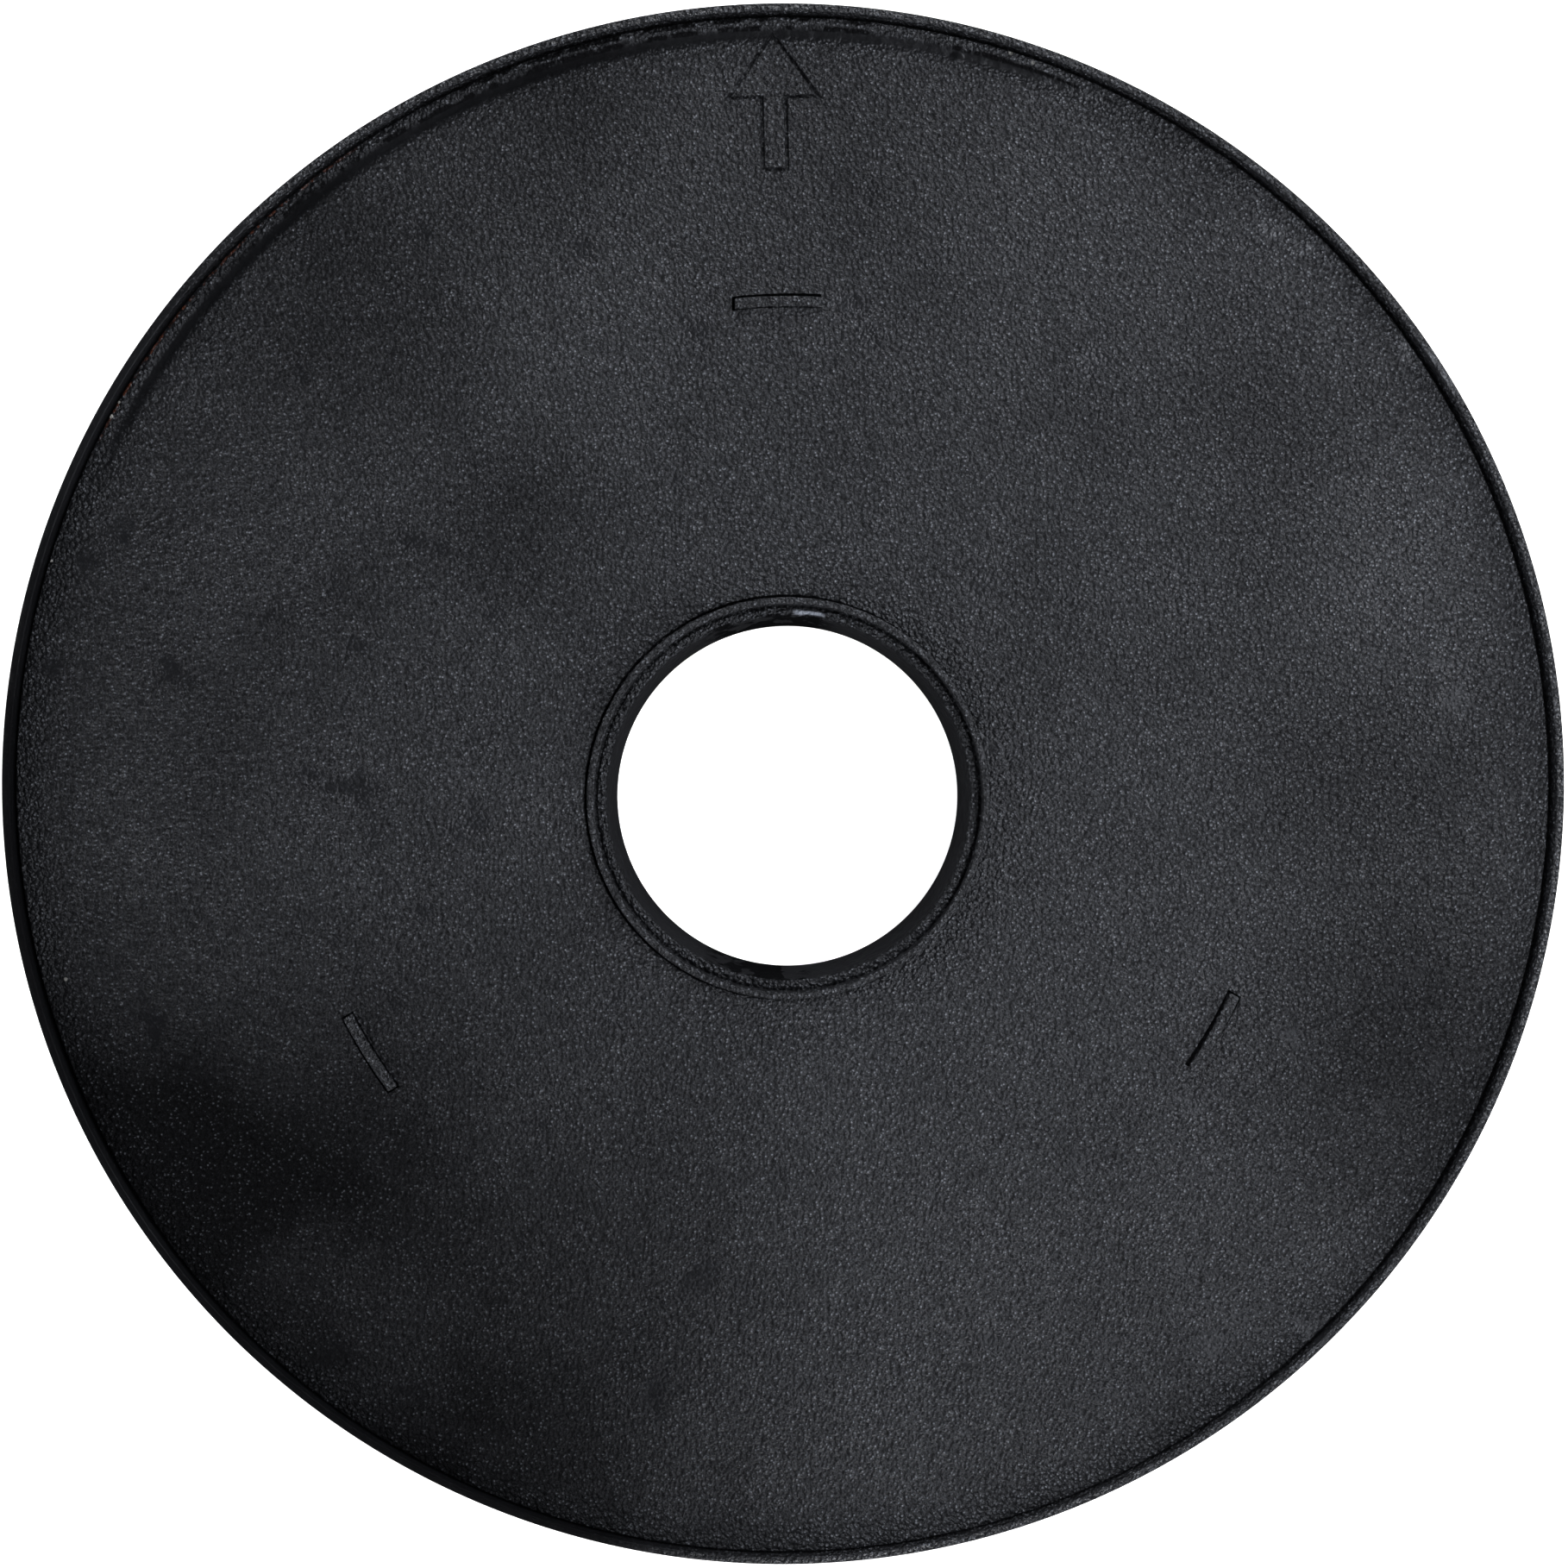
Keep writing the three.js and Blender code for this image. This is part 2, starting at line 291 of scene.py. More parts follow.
@dataclass(frozen=True)
class Band:
    """A ring-shaped band of the coat on one side of the dial."""

    inner: float
    outer: float
    blur: float
    towards: float
    full_reach: float
    end_reach: float

    def mask(self, graph: Graph) -> Signal:
        """1 in the band on its own side of the dial, fading along it."""
        radius = graph.radius()
        angle = math.radians(self.towards)
        side = (graph.x * math.cos(angle) + graph.y * math.sin(angle)) / radius
        reach = side.between(math.cos(math.radians(self.end_reach)), math.cos(math.radians(self.full_reach)))
        inwards = radius.between(self.inner - self.blur, self.inner + self.blur)
        outwards = radius.between(self.outer + self.blur, self.outer - self.blur)
        return inwards * outwards * reach


@dataclass(frozen=True)
class Tint:
    """A band where another colour shows, in specks or all over."""

    band: Band
    colour: Colour
    share: float = 1.0
    speck: float = 0.0

    def mask(self, graph: Graph) -> Signal:
        """Where the colour shows, from 0 to 1."""
        shown = self.band.mask(graph) * self.share
        if self.speck > 0:
            shown = shown * graph.noise(self.speck, detail=3.0).between(0.46, 0.60)
        return shown


@dataclass(frozen=True)
class GrainedCoat:
    """Coarse black powder coat: pebbled grain with painted shade in its pits, small bluish painted glints,
    and dull stains mixed with painted shade and painted light.
    """

    colour: Colour = (0.0086, 0.0090, 0.0106)
    # Near black, for the painted shade in the grain's pits and on the dull surface.
    painted_shade_colour: Colour = (0.0015, 0.0016, 0.0020)
    # Colour of the painted glints.
    glint_colour: Colour = (0.120, 0.130, 0.150)
    pale_glint_colour: Colour = (0.62, 0.62, 0.60)
    sheen_tint: Colour = (0.86, 0.90, 1.0)
    grain: float = 0.44 * MM
    height: float = 0.78 * MM
    roughness: float = 0.34
    dullness: float = 0.10
    cloudiness: float = 0.16
    flowed_dullness_and_shade: float = 0.40
    bright_glint_paint: float = 0.85
    dull_glint_paint: float = 0.22
    dull_depth: float = 0.90
    pebble: float = 1.8
    stains_and_shade: tuple[StainAndShadePatch, ...] = ()
    marks: tuple[Mark, ...] = ()
    flowed: tuple[Band, ...] = ()
    dark_bands: tuple[Band, ...] = ()
    tints: tuple[Tint, ...] = ()
    smooth_inside: float = 0.0

    def material(self, name: str) -> bpy.types.Material:
        """Builds the coat.

        Args:
            name: the material's name.

        Returns:
            The material.
        """
        graph = Graph(name)
        smooth = self._smoothness(graph)
        hollow = graph.cells(self.pebble * self.grain)
        lumps = graph.noise(self.grain, detail=1.0)
        relief = lumps * 0.55 + (1 - hollow * hollow * 1.5) * 0.45
        swell = graph.noise(7 * self.grain, detail=1.0)
        height = relief * (1 - smooth) + swell * (0.2 + smooth * 0.4)
        # Painted shade: the grain's hollows are painted near black, where shade would fall.
        shaded_pits = relief.between(0.52, 0.30) * (1 - smooth)
        # Painted glints: a pale base colour on some pebble crests stands in for light glinting off them.
        glint_scatter = graph.noise(1.3 * self.grain, detail=2.0).between(0.42, 0.58)
        glint_flecks = hollow.between(0.38, 0.10) * glint_scatter * (1 - smooth)
        shade = graph.mixed(shaded_pits * 0.85, self.colour, self.painted_shade_colour)
        for mark in self.marks:
            spot = graph.spot(mark.x, mark.y, mark.radius)
            height = height + spot * (mark.lift / self.height)
            # Painted glint: a pale spot on a nib where light would catch it.
            if mark.glint_paleness > 0:
                shade = graph.mixed(spot.between(0.3, 0.6) * mark.glint_paleness, shade, self.pale_glint_colour)
        for tint in self.tints:
            shade = graph.mixed(tint.mask(graph), shade, tint.colour)
        normal = graph.bump(height, self.height)
        bright = {
            "Base Color": graph.mixed(glint_flecks * self.bright_glint_paint, shade, self.glint_colour),
            "Roughness": self.roughness + shaded_pits * 0.2,
            "IOR": 1.5,
            "Specular Tint": (*self.sheen_tint, 1.0),
            "Normal": normal,
        }
        # The dull surface is darkened towards near black; where it follows the patches and bands this is
        # painted shade.
        dark = graph.mixed(self.dull_depth, shade, self.painted_shade_colour)
        dull = {
            "Base Color": graph.mixed(glint_flecks * self.dull_glint_paint, dark, self.glint_colour),
            "Roughness": 0.7,
            "IOR": 1.5,
            "Specular IOR Level": 0.03,
            "Normal": normal,
        }
        return graph.surface(bright, self._dull_and_shaded(graph), dull)

    def _smoothness(self, graph: Graph) -> Signal:
        """Where the grain has flowed out, from 0 to 1."""
        patches = graph.noise(11 * MM, detail=2.0)
        smooth = patches.between(0.60, 0.76) * 0.7
        for band in self.flowed:
            smooth = graph.math("MAXIMUM", smooth, band.mask(graph) * 0.92)
        if self.smooth_inside > 0:
            inside = graph.radius().between(self.smooth_inside + 0.2 * MM, self.smooth_inside - 0.2 * MM)
            smooth = graph.math("MAXIMUM", smooth, inside * 0.93)
        return smooth

    def _dull_and_shaded(self, graph: Graph) -> Signal:
        """How dull and dark the coat is, from 0 to 1: random clouds, with painted shade and painted light
        from the patches and the dark bands.
        """
        clouds = graph.noise(34 * MM, detail=3.0, roughness=0.55).between(0.64, 0.36)
        dullness_and_shade = clouds * self.cloudiness + self.dullness
        for patch in self.stains_and_shade:
            dullness_and_shade = dullness_and_shade + graph.spot(patch.x, patch.y, patch.radius) * patch.strength
        for band in self.flowed:
            dullness_and_shade = dullness_and_shade + band.mask(graph) * self.flowed_dullness_and_shade
        for band in self.dark_bands:
            patchiness = graph.noise(4 * MM, detail=3.0).between(0.42, 0.52)
            dullness_and_shade = dullness_and_shade + band.mask(graph) * patchiness
        return graph.math("MINIMUM", graph.math("MAXIMUM", dullness_and_shade, 0.0), 1.0)


@dataclass(frozen=True)
class ZincPlate:
    """Bright zinc on small steel parts, a little dulled and streaked."""

    colour: Colour = (0.50, 0.52, 0.55)
    dull_colour: Colour = (0.33, 0.33, 0.31)

    def material(self, name: str) -> bpy.types.Material:
        """Builds the plating."""
        graph = Graph(name)
        bloom = graph.noise(1.6 * MM, detail=4.0, roughness=0.6).between(0.38, 0.66)
        scratches = graph.noise(0.25 * MM, detail=2.0)
        return graph.surface({
            "Base Color": graph.mixed(bloom, self.colour, self.dull_colour),
            "Metallic": 1.0,
            "Roughness": 0.24 + bloom * 0.2 + scratches * 0.08,
            "Normal": graph.bump(scratches, 0.01 * MM),
        })


@dataclass(frozen=True)
class MouldedRubber:
    """Matt black rubber with a fine moulded skin and a little dust."""

    colour: Colour = (0.014, 0.014, 0.014)
    dust_colour: Colour = (0.060, 0.057, 0.052)

    def material(self, name: str) -> bpy.types.Material:
        """Builds the rubber."""
        graph = Graph(name)
        skin = graph.noise(0.3 * MM, detail=3.0)
        dust = graph.noise(4 * MM, detail=3.0).between(0.48, 0.72)
        return graph.surface({
            "Base Color": graph.mixed(dust * 0.5, self.colour, self.dust_colour),
            "Roughness": 0.68 + skin * 0.2,
            "Normal": graph.bump(skin, 0.03 * MM),
        })


@dataclass(frozen=True)
class PaleFloor:
    """The plain pale studio floor and backdrop, lifted a little by their own light."""

    colour: Colour = (0.86, 0.86, 0.86)
    shade_colour: Colour = (0.82, 0.82, 0.82)
    lift: float = 0.78

    def material(self, name: str) -> bpy.types.Material:
        """Builds the floor's paint."""
        graph = Graph(name)
        mottle = graph.noise(120 * MM, detail=2.0)
        return graph.surface({
            "Base Color": graph.mixed(mottle, self.colour, self.shade_colour),
            "Roughness": 0.9,
            "Emission Color": (1.0, 1.0, 1.0, 1.0),
            "Emission Strength": self.lift,
        })


# ------------------------------------------------------------------------------ mesh work


@dataclass(frozen=True)
class Corner:
    """A corner of a turned section: radius, height, and how far it is rounded."""

    radius: float
    height: float
    rounding: float = 0.0


def turned(
    section: Sequence[Corner], steps: int, on_axis: bool = False, segments: int = 4,
) -> bmesh.types.BMesh:
    """Spins a section about the Z axis.

    Args:
        section: the corners, in order round the section.
        steps: how many steps make the full turn.
        on_axis: whether the section starts and ends on the axis instead of closing on itself.
        segments: how many segments round each corner.

    Returns:
        The closed, outward-facing mesh.
    """
    bm = bmesh.new()
    verts = [bm.verts.new((corner.radius, 0, corner.height)) for corner in section]
    bm.faces.new(verts)
    for vert, corner in zip(verts, section):
        if corner.rounding > 0:
            bmesh.ops.bevel(
                bm, geom=[vert], offset=corner.rounding, offset_type="OFFSET", affect="VERTICES",
                segments=segments, profile=0.5, material=-1,
            )
    bmesh.ops.delete(bm, geom=list(bm.faces), context="FACES_ONLY")
    if on_axis:
        axis_edges = [edge for edge in bm.edges if all(abs(v.co.x) < WELD_DISTANCE for v in edge.verts)]
        bmesh.ops.delete(bm, geom=axis_edges, context="EDGES")
    bmesh.ops.spin(
        bm, geom=list(bm.verts) + list(bm.edges), cent=(0, 0, 0), axis=(0, 0, 1),
        angle=FULL_TURN, steps=steps, use_merge=True,
    )
    bmesh.ops.remove_doubles(bm, verts=bm.verts, dist=WELD_DISTANCE)
    bmesh.ops.recalc_face_normals(bm, faces=bm.faces)
    return bm


def drum(radius: float, bottom: float, top: float, sides: int, y: float = 0.0) -> bmesh.types.BMesh:
    """An upright prism with many or few sides, on the noon line."""
    bm = bmesh.new()
    place = Matrix.Translation((0, y, (bottom + top) / 2))
    bmesh.ops.create_cone(
        bm, cap_ends=True, segments=sides, radius1=radius, radius2=radius, depth=top - bottom, matrix=place,
    )
    return bm


def block(low: Vector, high: Vector, bevel: float = 0.0) -> bmesh.types.BMesh:
    """A box between two corners, with its edges bevelled if asked."""
    bm = bmesh.new()
    size = high - low
    place = Matrix.Translation((low + high) / 2) @ Matrix.Diagonal((*size, 1))
    bmesh.ops.create_cube(bm, size=1, matrix=place)
    if bevel > 0:
        soften(bm, bevel)
    return bm


def bowed_bar(low: Vector, high: Vector, bow: float, bevel: float = 0.0, cuts: int = 10) -> bmesh.types.BMesh:
    """A box between two corners, bowed outwards along its length.

    Args:
        low: its lowest corner.
        high: its highest corner.
        bow: how far its middle is pushed towards +Y.
        bevel: the width of its bevelled edges.
        cuts: how many slices its length is bent in.

    Returns:
        The bar.
    """
    bm = block(low, high, bevel)
    middle, half = (low.x + high.x) / 2, (high.x - low.x) / 2
    for cut in range(1, cuts):
        where = Vector((low.x + cut * (high.x - low.x) / cuts, 0, 0))
        geometry = list(bm.verts) + list(bm.edges) + list(bm.faces)
        bmesh.ops.bisect_plane(bm, geom=geometry, plane_co=where, plane_no=(1, 0, 0))
    for vert in bm.verts:
        vert.co.y += bow * (1 - ((vert.co.x - middle) / half) ** 2)
    return bm


def soften(bm: bmesh.types.BMesh, width: float, angle: float = math.radians(35), segments: int = 2) -> None:
    """Bevels every edge sharper than an angle."""
    sharp = [edge for edge in bm.edges if edge.is_manifold and edge.calc_face_angle(0) > angle]
    bmesh.ops.bevel(
        bm, geom=sharp, offset=width, offset_type="OFFSET", affect="EDGES", segments=segments,
        profile=0.5, material=-1, clamp_overlap=True,
    )


def mesh_of(bm: bmesh.types.BMesh, name: str) -> bpy.types.Mesh:
    """Turns a bmesh into a mesh and frees it."""
    mesh = bpy.data.meshes.new(name)
    bm.to_mesh(mesh)
    bm.free()
    return mesh


def carved(body: bpy.types.Mesh, *changes: tuple[str, bmesh.types.BMesh]) -> bpy.types.Mesh:
    """Cuts, joins or trims a mesh with others.

    Args:
        body: the mesh to change.
        changes: the boolean operations and their tools, in order.

    Returns:
        The changed mesh.
    """
    carrier = bpy.data.objects.new("carrier", body)
    bpy.context.scene.collection.objects.link(carrier)
    tools = []
    for operation, shape in changes:
        tool = bpy.data.objects.new("tool", mesh_of(shape, "tool"))
        bpy.context.scene.collection.objects.link(tool)
        modifier = carrier.modifiers.new("carve", "BOOLEAN")
        modifier.operation = operation
        modifier.solver = "EXACT"
        modifier.object = tool
        tools.append(tool)
    evaluated = carrier.evaluated_get(bpy.context.evaluated_depsgraph_get())
    result = bpy.data.meshes.new_from_object(evaluated)
    for spare in [carrier, *tools]:
        bpy.data.objects.remove(spare)
    result.name = body.name
    return result


def install(
    name: str, mesh: bpy.types.Mesh, material: bpy.types.Material, nodes: Sequence[str],
    smooth_angle: float = math.radians(32),
) -> bpy.types.Object:
    """Puts a finished piece in the scene, in place of its frame nodes.

    Args:
        name: the piece's name.
        mesh: its mesh, already in place.
        material: its finish.
        nodes: the frame nodes that it stands for.
        smooth_angle: edges sharper than this stay sharp.

    Returns:
        The piece.
    """
    piece = bpy.data.objects.new(name, mesh)
    bpy.context.scene.collection.objects.link(piece)
    mesh.materials.clear()
    mesh.materials.append(material)
    mesh.shade_smooth()
    mesh.set_sharp_from_angle(angle=smooth_angle)
    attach(piece, ROOT)
    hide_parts(*nodes)
    LOG.info("%s: %d faces", name, len(mesh.polygons))
    return piece


def install_round(
    name: str,
    template: bpy.types.Mesh,
    material: bpy.types.Material,
    node: str,
    angles: Sequence[float],
) -> None:
    """Installs turned copies of a piece made at noon, numbered from 1 like their nodes."""
    for number, angle in enumerate(angles, start=1):
        mesh = template.copy()
        mesh.transform(Matrix.Rotation(angle, 4, "Z"))
        install(f"{name}_{number}", mesh, material, [f"{node}_{number}"])
    bpy.data.meshes.remove(template)


def evenly(count: int, offset: float = 0.0) -> list[float]:
    """Angles from noon of evenly spaced pieces."""
    return [offset + number * FULL_TURN / count for number in range(count)]


# ------------------------------------------------------------------------------ the dial's levels


@dataclass(frozen=True)
class Levels:
    """Heights and radii that the sub-assemblies share, read from the frame."""

    rim_radius: float
    rim_top: float
    rim_bottom: float
    plate_radius: float
    face: float
    underside: float
    ledge_bottom: float
    ledge_inner: float
    ledge_outer: float

    @classmethod
    def read(cls) -> "Levels":
        """Reads them from the frame's boxes."""
        hoop_low, hoop_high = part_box("rim_hoop")
        plate_low, plate_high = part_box("dial_plate")
        ledge_low, ledge_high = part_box("rim_ledge")
        return cls(
            rim_radius=hoop_high.x,
            rim_top=hoop_high.z,
            rim_bottom=hoop_low.z,
            plate_radius=plate_high.x,
            face=plate_high.z,
            underside=plate_low.z,
            ledge_bottom=ledge_low.z,
            ledge_inner=ledge_high.x - LEDGE_WIDTH,
            ledge_outer=ledge_high.x,
        )


# ------------------------------------------------------------------------------ plate


@dataclass
class NoonArrow:
    """The outlined arrow cut into the face at noon."""

    tip: float = 145.5 * MM
    tail: float = 119 * MM
    head_length: float = 13 * MM
    head_width: float = 19 * MM
    shaft_width: float = 5.5 * MM
    wall: float = 0.34 * MM
    floor: float = 0.26 * MM
    depth: float = 0.50 * MM
    margin: float = 0.10 * MM

    def cutter(self, face: float) -> bmesh.types.BMesh:
        """The closed ring that cuts the arrow's line, with sloping sides.

        Args:
            face: the height of the plate's face.

        Returns:
            The cutter.
        """
        base = self.tip - self.head_length
        right = [
            (self.shaft_width / 2, self.tail),
            (self.shaft_width / 2, base),
            (self.head_width / 2, base),
            (0.0, self.tip),
        ]
        left = [(-x, y) for x, y in reversed(right[:-1])]
        bm = bmesh.new()
        corners = reversed(right + left)
        outline = bm.faces.new([bm.verts.new((x, y, face + self.margin)) for x, y in corners])
        outline.normal_update()
        drop = self.depth + self.margin
        for width, depth in ((self.wall, drop), (self.floor, 0.0), (self.wall, -drop)):
            bmesh.ops.inset_region(
                bm, faces=[outline], thickness=width, depth=depth, use_boundary=True, use_even_offset=True,
            )
        bmesh.ops.delete(bm, geom=[outline], context="FACES_ONLY")
        bmesh.ops.bridge_loops(bm, edges=[edge for edge in bm.edges if edge.is_boundary])
        bmesh.ops.recalc_face_normals(bm, faces=bm.faces)
        return bm


@dataclass(frozen=True)
class Swell:
    """A smooth swell round part of the dial, strongest towards an angle and gone at its reach."""

    towards: float
    full_reach: float
    end_reach: float

    def at(self, x: float, y: float) -> float:
        """Its strength over a point, from 0 to 1."""
        away = math.atan2(y, x) - math.radians(self.towards)
        away = abs(math.degrees(math.atan2(math.sin(away), math.cos(away))))
        share = min(1.0, max(0.0, (self.end_reach - away) / (self.end_reach - self.full_reach)))
        return share * share * (3 - 2 * share)


@dataclass
class DialPlate:
    """The ring plate: grained face, slots, noon arrow, and an outer edge that rolls up at noon."""

    levels: Levels
    inner_radius: float = 38.72 * MM
    inner_gap: float = 0.50 * MM
    inner_open: Swell = Swell(160, 50, 125)
    edge_round: float = 0.45 * MM
    noon_reach: float = 0.40 * MM
    noon_swell: Swell = Swell(115, 50, 95)
    south_reach: float = 0.60 * MM
    south_swell: Swell = Swell(-95, 30, 70)
    edge_fall: float = 0.12 * MM
    bead: Swell = Swell(108, 36, 50)
    bead_height: float = 0.26 * MM
    bead_inset: float = 0.75 * MM
    bead_width: float = 0.60 * MM
    valley_depth: float = 0.24 * MM
    valley_inset: float = 2.7 * MM
    valley_width: float = 1.3 * MM
    steps: int = 480
    arrow: NoonArrow = field(default_factory=NoonArrow)
    # Painted shade: the large patches darken the left and lower left, where the light falls off; the negative
    # ones are painted light.
    stains_and_shade: tuple[StainAndShadePatch, ...] = (
        StainAndShadePatch(-150 * MM, 20 * MM, 160 * MM, 0.34),
        StainAndShadePatch(-85 * MM, -128 * MM, 128 * MM, 0.78),
        StainAndShadePatch(-84 * MM, -66 * MM, 35 * MM, 0.20),
        StainAndShadePatch(-120 * MM, -72 * MM, 36 * MM, 0.22),
        StainAndShadePatch(-150 * MM, -60 * MM, 60 * MM, 0.62),
        StainAndShadePatch(116 * MM, -52 * MM, 46 * MM, 0.46),
        StainAndShadePatch(112 * MM, 0 * MM, 38 * MM, 0.34),
        StainAndShadePatch(80 * MM, -126 * MM, 26 * MM, 0.22),
        StainAndShadePatch(95 * MM, 74 * MM, 22 * MM, 0.14),
        StainAndShadePatch(-42 * MM, 130 * MM, 38 * MM, 0.34),
        StainAndShadePatch(-80 * MM, 100 * MM, 42 * MM, 0.34),
        StainAndShadePatch(-50 * MM, 54 * MM, 26 * MM, 0.22),
        StainAndShadePatch(-73 * MM, -32 * MM, 24 * MM, 0.12),
        StainAndShadePatch(16 * MM, 118 * MM, 34 * MM, 0.16),
        StainAndShadePatch(20 * MM, -52 * MM, 42 * MM, -0.04),
        StainAndShadePatch(124 * MM, 46 * MM, 32 * MM, -0.20),
        StainAndShadePatch(104 * MM, 98 * MM, 30 * MM, -0.14),
        StainAndShadePatch(-49 * MM, 0 * MM, 22 * MM, -0.20),
    )
    # Nibs and pits near noon and on the left; the pale ones carry painted glints.
    marks: tuple[Mark, ...] = (
        Mark(34.8 * MM, 139.6 * MM, 1.6 * MM, 0.8 * MM),
        Mark(45.0 * MM, 140.4 * MM, 0.8 * MM, -0.4 * MM, 0.25),
        Mark(49.2 * MM, 138.5 * MM, 0.7 * MM, -0.4 * MM, 0.20),
        Mark(-139.6 * MM, -31.6 * MM, 0.7 * MM, 0.3 * MM, 0.35),
        Mark(-106.5 * MM, 95.0 * MM, 0.9 * MM, -0.5 * MM),
        Mark(-108.1 * MM, 82.6 * MM, 0.8 * MM, -0.5 * MM),
        Mark(-126.8 * MM, 75.4 * MM, 0.8 * MM, 0.3 * MM, 0.8),
        Mark(-125.2 * MM, 78.0 * MM, 0.5 * MM, 0.3 * MM, 0.6),
        Mark(-139.2 * MM, 48.4 * MM, 0.5 * MM, 0.3 * MM, 0.5),
    )

    def build(self) -> None:
        """Makes the plate and dresses it."""
        changes = [("DIFFERENCE", self.arrow.cutter(self.levels.face))]
        changes += [("DIFFERENCE", fit.slot(self.levels)) for fit in TENON_FITS]
        mesh = carved(mesh_of(self._ring(), "grained_plate"), *changes)
        edge = self.levels.plate_radius
        rusty = Band(edge - 0.3 * MM, edge + 1.0 * MM, 0.1 * MM, 137, 10, 16)
        coat = GrainedCoat(
            stains_and_shade=self.stains_and_shade,
            marks=self.marks,
            flowed=(Band(edge - 3.8 * MM, edge - 1.6 * MM, 0.8 * MM, self.bead.towards, 36, 50),),
            # Darker bands at noon: the outer one over the bead's edge and the gap beside it; the inner one is
            # a painted shadow under the bead.
            dark_bands=(
                Band(edge - 0.7 * MM, edge + 1.0 * MM, 0.2 * MM, 98, 10, 20),
                Band(edge - 2.0 * MM, edge - 1.3 * MM, 0.35 * MM, 98, 22, 42),
            ),
            tints=(Tint(rusty, RUST, speck=1.1 * MM),),
        )
        install("grained_plate", mesh, coat.material("face_coat"), ["dial_plate"])

    def _ring(self) -> bmesh.types.BMesh:
        """The plate before its slots and arrow are cut."""
        face, radius = self.levels.face, self.levels.plate_radius
        crown = [Corner(radius - step * 0.4 * MM, face) for step in range(2, 16)]
        bm = turned([
            Corner(self.inner_radius, self.levels.underside, 0.15 * MM),
            Corner(radius, self.levels.underside, 0.15 * MM),
            Corner(radius, face, self.edge_round),
            *crown,
            Corner(self.inner_radius, face, 0.25 * MM),
        ], self.steps)
        for vert in bm.verts:
            x, y, _ = vert.co
            distance = math.hypot(x, y)
            if vert.co.z > face - self.edge_round:
                vert.co.z += self._roll(radius - distance, x, y)
            if distance > radius - self.edge_round:
                reach = self.noon_reach * self.noon_swell.at(x, y)
                reach += self.south_reach * self.south_swell.at(x, y)
                vert.co += Vector((x, y, 0)) * (reach / distance)
            elif distance < self.inner_radius + 0.3 * MM:
                stretch = self.inner_gap * self.inner_open.at(x, y) / distance
                vert.co += Vector((x, y, 0)) * stretch
        return bm

    def _roll(self, inwards: float, x: float, y: float) -> float:
        """How far the face is lifted or lowered by its rolled edge."""
        turn = math.atan2(y, x)
        ripple = 1 + 0.22 * math.sin(17 * turn) + 0.18 * math.sin(41 * turn + 1.3)
        crest = math.exp(-((inwards - self.bead_inset) / self.bead_width) ** 2)
        valley = math.exp(-((inwards - self.valley_inset) / self.valley_width) ** 2)
        rolled = ripple * self.bead_height * crest - self.valley_depth * valley
        fall = min(1.0, max(0.0, (2.3 * MM - inwards) / (1.5 * MM)))
        strength = self.bead.at(x, y)
        return strength * rolled - (1 - strength) * self.edge_fall * fall


@dataclass(frozen=True)
class TenonFit:
    """How one tenon sits in its slot: where the slot's gap is, and how far the slot is out of square."""

    angle: float
    outer_gap: float
    inner_gap: float
    left_gap: float
    right_gap: float
    skew: float = 0.0

    def slot(self, levels: Levels) -> bmesh.types.BMesh:
        """The cutter of the slot, flared at the face."""
        low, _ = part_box("tenon_lug_1")
        half = TENON_LENGTH / 2
        bm = bowed_bar(
            Vector((-half - self.left_gap, low.y - self.inner_gap, levels.underside - 1 * MM)),
            Vector((half + self.right_gap, low.y + LUG_THICKNESS + self.outer_gap, levels.face + 0.4 * MM)),
            TENON_BOW,
        )
        middle = Vector((0, low.y + LUG_THICKNESS / 2, 0))
        twist = Matrix.Rotation(math.radians(self.skew), 3, "Z")
        turn = Matrix.Rotation(self.angle, 3, "Z")
        bmesh.ops.rotate(bm, verts=bm.verts, cent=middle, matrix=twist)
        bmesh.ops.rotate(bm, verts=bm.verts, cent=(0, 0, 0), matrix=turn)
        return bm


TENON_FITS = (
    TenonFit(0.0, 0.50 * MM, 0.18 * MM, 0.55 * MM, 0.03 * MM, skew=0.7),
    TenonFit(FULL_TURN / 3, 0.36 * MM, 0.36 * MM, 0.35 * MM, 0.35 * MM, skew=-0.4),
    TenonFit(2 * FULL_TURN / 3, 0.16 * MM, 0.80 * MM, 0.35 * MM, 0.02 * MM, skew=-0.9),
)


# ------------------------------------------------------------------------------ rim


